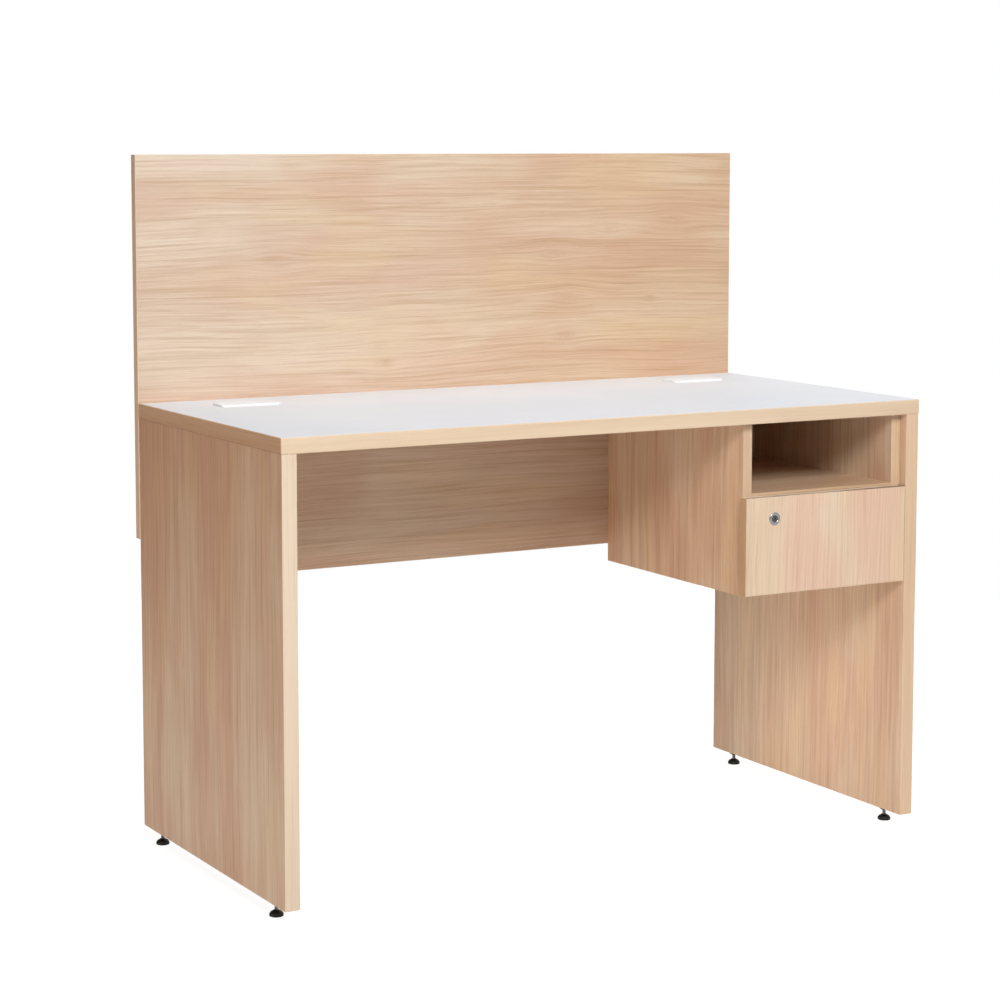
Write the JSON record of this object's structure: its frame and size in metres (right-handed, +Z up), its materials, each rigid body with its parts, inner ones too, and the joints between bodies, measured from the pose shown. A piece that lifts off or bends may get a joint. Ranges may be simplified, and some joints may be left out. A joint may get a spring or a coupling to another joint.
{
  "type": "study carrel",
  "caption": "Study carrel desk with slab legs, tall rear screen, modesty panel, cable ports, and a hanging pedestal with open shelf and lockable drawer.",
  "frame": {"origin": "on the floor, at the centre of the footprint", "axes": "+X to the sitter's right along the desk, +Y towards the screen at the back, +Z up"},
  "size_m": [1.2, 0.6036, 1.168],
  "materials": {
    "white_melamine": "satin white melamine on particle board",
    "wood_laminate": "light wood-grain laminate, satin",
    "edge_band": "wood-tone edge band, satin",
    "drawer_board": "pale laminate drawer board",
    "hardboard": "thin fibreboard sheet",
    "beech_dowel": "raw beech",
    "zinc_plated_steel": "zinc plated, fine brushed",
    "lock_chrome": "polished",
    "lock_dark": "satin nickel",
    "white_plastic": "semi-gloss",
    "wood_tone_plastic": "matte",
    "black_plastic": "matte moulded"
  },
  "bodies": {
    "root": {"angle_brackets": "zinc_plated_steel", "cable_port_frame_left": "white_plastic", "cable_port_frame_right": "white_plastic", "cam_bolts": "zinc_plated_steel", "cam_housings": "zinc_plated_steel", "desktop": "white_melamine", "desktop_band_front": "edge_band", "desktop_band_rear": "edge_band", "desktop_side_bands": "edge_band", "fixing_screws": "zinc_plated_steel", "leg_band_left": "edge_band", "leg_band_right": "edge_band", "leg_panel_left": "wood_laminate", "leg_panel_right": "wood_laminate", "leveller_inserts": "black_plastic", "modesty_band": "edge_band", "modesty_panel": "wood_laminate", "panel_dowels": "beech_dowel", "pedestal_back": "wood_laminate", "pedestal_band_left": "edge_band", "pedestal_band_right": "edge_band", "pedestal_bottom": "wood_laminate", "pedestal_bottom_band": "edge_band", "pedestal_rail": "wood_laminate", "pedestal_shelf": "wood_laminate", "pedestal_shelf_band": "edge_band", "pedestal_side_left": "wood_laminate", "pedestal_side_right": "wood_laminate", "screen_band_bottom": "edge_band", "screen_band_top": "edge_band", "screen_panel": "wood_laminate", "screen_screw_caps": "wood_tone_plastic", "screen_screws": "zinc_plated_steel", "screen_side_bands": "edge_band", "slide_outer_left": "zinc_plated_steel", "slide_outer_right": "zinc_plated_steel", "strike_plate": "zinc_plated_steel"},
    "drawer": {"drawer_front": "wood_laminate", "drawer_front_edging": "edge_band", "drawer_side_left": "drawer_board", "drawer_side_right": "drawer_board", "drawer_back": "drawer_board", "drawer_bottom": "hardboard", "drawer_dowels": "beech_dowel", "drawer_slide_screws": "zinc_plated_steel", "slide_inner_left": "zinc_plated_steel", "slide_inner_right": "zinc_plated_steel", "lock_housing": "lock_chrome", "lock_nut": "zinc_plated_steel"},
    "slide_member_left": {"slide_middle_left": "zinc_plated_steel"},
    "slide_member_right": {"slide_middle_right": "zinc_plated_steel"},
    "lock_barrel": {"lock_plug": "lock_dark", "lock_cam": "zinc_plated_steel", "lock_cam_screw": "zinc_plated_steel"},
    "cable_flap_left": {"cable_port_flap_left": "white_plastic"},
    "cable_flap_right": {"cable_port_flap_right": "white_plastic"},
    "leveller_front_left": {"foot_front_left": "black_plastic"},
    "leveller_front_right": {"foot_front_right": "black_plastic"},
    "leveller_rear_left": {"foot_rear_left": "black_plastic"},
    "leveller_rear_right": {"foot_rear_right": "black_plastic"}
  },
  "joints": [
    {"name": "drawer_slide", "type": "slide", "parent": "root", "child": "drawer", "axis": [0, -1, 0], "range_m": [0, 0.35]},
    {"name": "slide_left_half", "type": "slide", "parent": "root", "child": "slide_member_left", "axis": [0, -1, 0], "range_m": [0, 0.175]},
    {"name": "slide_right_half", "type": "slide", "parent": "root", "child": "slide_member_right", "axis": [0, -1, 0], "range_m": [0, 0.175]},
    {"name": "lock_turn", "type": "hinge", "parent": "drawer", "child": "lock_barrel", "pos_m": [0.2995, -0.27, 0.5643], "axis": [0, -1, 0], "range_deg": [0, 90]},
    {"name": "cable_flap_left_lift", "type": "hinge", "parent": "root", "child": "cable_flap_left", "pos_m": [-0.448, 0.1605, 0.7522], "axis": [1, 0, 0], "range_deg": [0, 90]},
    {"name": "cable_flap_right_lift", "type": "hinge", "parent": "root", "child": "cable_flap_right", "pos_m": [0.448, 0.1605, 0.7522], "axis": [1, 0, 0], "range_deg": [0, 90]},
    {"name": "leveller_front_left_turn", "type": "hinge", "parent": "root", "child": "leveller_front_left", "pos_m": [-0.5865, -0.238, 0.02], "axis": [0, 0, 1], "continuous": true},
    {"name": "leveller_front_right_turn", "type": "hinge", "parent": "root", "child": "leveller_front_right", "pos_m": [0.5865, -0.238, 0.02], "axis": [0, 0, 1], "continuous": true},
    {"name": "leveller_rear_left_turn", "type": "hinge", "parent": "root", "child": "leveller_rear_left", "pos_m": [-0.5865, 0.23, 0.02], "axis": [0, 0, 1], "continuous": true},
    {"name": "leveller_rear_right_turn", "type": "hinge", "parent": "root", "child": "leveller_rear_right", "pos_m": [0.5865, 0.23, 0.02], "axis": [0, 0, 1], "continuous": true}
  ],
  "couplings": [
    {"joint": "slide_left_half", "follows": "drawer_slide", "ratio": 0.5},
    {"joint": "slide_right_half", "follows": "drawer_slide", "ratio": 0.5}
  ]
}
